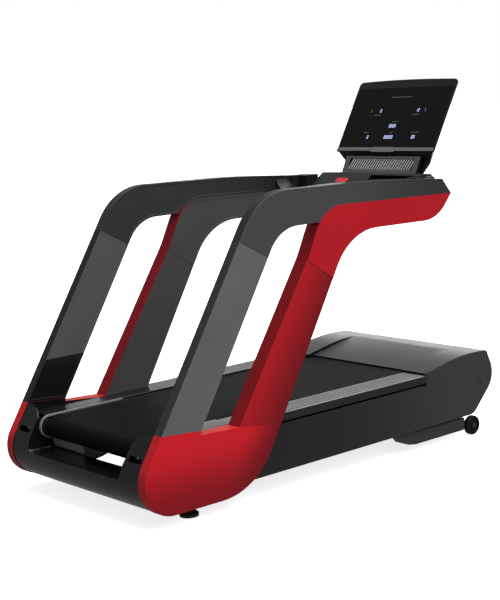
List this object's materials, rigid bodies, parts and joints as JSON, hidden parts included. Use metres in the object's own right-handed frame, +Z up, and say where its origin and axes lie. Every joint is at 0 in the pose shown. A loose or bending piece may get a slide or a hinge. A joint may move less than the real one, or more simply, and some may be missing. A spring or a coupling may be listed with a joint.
{
  "type": "treadmill",
  "caption": "Motorised treadmill with a flat running belt, sloping looped handrail frames, tilted glass console, powered lift and transport wheels.",
  "frame": {"origin": "on the floor, under the middle of the bounding box", "axes": "+X is to the runner's right, +Y is the way the runner faces, towards the console, +Z is up"},
  "size_m": [0.92, 1.8939, 1.5107],
  "materials": {
    "shell_grey": "satin",
    "shell_red": "semi-gloss",
    "liner_grey": "satin",
    "cover_black": "satin",
    "panel_black": "satin",
    "hood_grey": "satin",
    "rail_grey": "ribbed",
    "trim_grey": "smooth",
    "belt_rubber": "fine texture",
    "rubber_black": "moulded",
    "deck_board": "waxed",
    "frame_paint": "powder coat",
    "bright_steel": "turned",
    "motor_paint": "enamel",
    "heat_sink": "extruded",
    "console_black": "gloss",
    "console_grey": "satin",
    "display_glass": "black",
    "silver_trim": "satin",
    "grille_silver": "satin",
    "stop_red": "smooth",
    "inlet_black": "fine grain"
  },
  "bodies": {
    "frame": {"accessory_tray": "silver_trim", "arm_cover_left": "shell_grey", "arm_cover_right": "shell_grey", "arm_liner_left": "liner_grey", "arm_liner_right": "liner_grey", "arm_skirt_left": "shell_red", "arm_skirt_right": "shell_red", "base_shell_left": "shell_red", "base_shell_right": "shell_red", "console_bezel": "silver_trim", "console_bridge": "console_grey", "console_housing": "console_black", "console_tray": "console_grey", "control_unit": "heat_sink", "cross_members": "frame_paint", "deck_board": "deck_board", "deck_cushions": "rubber_black", "display_glass": "display_glass", "drive_belt": "rubber_black", "drive_motor": "motor_paint", "foot_rail_left": "rail_grey", "foot_rail_right": "rail_grey", "frame_rails": "frame_paint", "front_cover": "panel_black", "front_leg_left": "shell_red", "front_leg_right": "shell_red", "handrail_frames": "frame_paint", "hood_screws": "bright_steel", "incline_motor": "motor_paint", "leg_liner_left": "liner_grey", "leg_liner_right": "liner_grey", "motor_hood": "hood_grey", "motor_tray": "frame_paint", "pivot_bushes": "rubber_black", "power_inlet": "inlet_black", "rail_end_left": "cover_black", "rail_end_right": "cover_black", "rear_cover": "cover_black", "rear_leg_left": "shell_grey", "rear_leg_right": "shell_grey", "roller_axles": "bright_steel", "roller_bearings": "bright_steel", "roller_guard_left": "trim_grey", "roller_guard_right": "trim_grey", "running_belt": "belt_rubber", "side_panel_left": "panel_black", "side_panel_right": "panel_black", "tension_bolts": "bright_steel", "vent_grille": "grille_silver"},
    "rear_roller": {"rear_roller": "bright_steel"},
    "front_roller": {"front_roller": "bright_steel"},
    "motor_rotor": {"motor_rotor": "bright_steel"},
    "lift": {"lift_frame": "frame_paint"},
    "incline_screw": {"incline_screw": "bright_steel"},
    "wheel_left": {"transport_wheel_left": "rubber_black"},
    "wheel_right": {"transport_wheel_right": "rubber_black"},
    "foot_left": {"levelling_foot_left": "rubber_black"},
    "foot_right": {"levelling_foot_right": "rubber_black"},
    "stop_button": {"stop_button": "stop_red"},
    "power_switch": {"power_switch": "inlet_black"}
  },
  "joints": [
    {"name": "front_roller_spin", "type": "hinge", "parent": "frame", "child": "front_roller", "pos_m": [0, 0.57975, 0.2622], "axis": [1, 0, 0], "continuous": true},
    {"name": "rear_roller_spin", "type": "hinge", "parent": "frame", "child": "rear_roller", "pos_m": [0, -0.84025, 0.2622], "axis": [1, 0, 0], "continuous": true},
    {"name": "motor_spin", "type": "hinge", "parent": "frame", "child": "motor_rotor", "pos_m": [0, 0.73975, 0.195], "axis": [1, 0, 0], "continuous": true},
    {"name": "lift_pivot", "type": "hinge", "parent": "frame", "child": "lift", "pos_m": [0, 0.34975, 0.104], "axis": [-1, 0, 0], "range_deg": [0, 26]},
    {"name": "incline_screw_slide", "type": "slide", "parent": "frame", "child": "incline_screw", "axis": [0, 1, 0], "range_m": [0, 0.0406]},
    {"name": "wheel_left_spin", "type": "hinge", "parent": "lift", "child": "wheel_left", "pos_m": [-0.415, 0.80675, 0.041], "axis": [1, 0, 0], "continuous": true},
    {"name": "wheel_right_spin", "type": "hinge", "parent": "lift", "child": "wheel_right", "pos_m": [0.415, 0.80675, 0.041], "axis": [1, 0, 0], "continuous": true},
    {"name": "foot_left_slide", "type": "slide", "parent": "frame", "child": "foot_left", "axis": [0, 0, -1], "range_m": [0, 0.02]},
    {"name": "foot_right_slide", "type": "slide", "parent": "frame", "child": "foot_right", "axis": [0, 0, -1], "range_m": [0, 0.02]},
    {"name": "stop_button_press", "type": "slide", "parent": "frame", "child": "stop_button", "axis": [0, 0.5744, -0.8186], "range_m": [0, 0.004], "stiffness_N_per_m": 2500, "springref_m": -0.003},
    {"name": "power_switch_rock", "type": "hinge", "parent": "frame", "child": "power_switch", "pos_m": [-0.303, 0.84693, 0.13354], "axis": [0, -0.7096, -0.7047], "range_deg": [0, 16]}
  ],
  "couplings": [
    {"joint": "rear_roller_spin", "follows": "front_roller_spin", "ratio": 1},
    {"joint": "motor_spin", "follows": "front_roller_spin", "ratio": 2},
    {"joint": "incline_screw_slide", "follows": "lift_pivot", "m_per_rad": 0.08923}
  ]
}
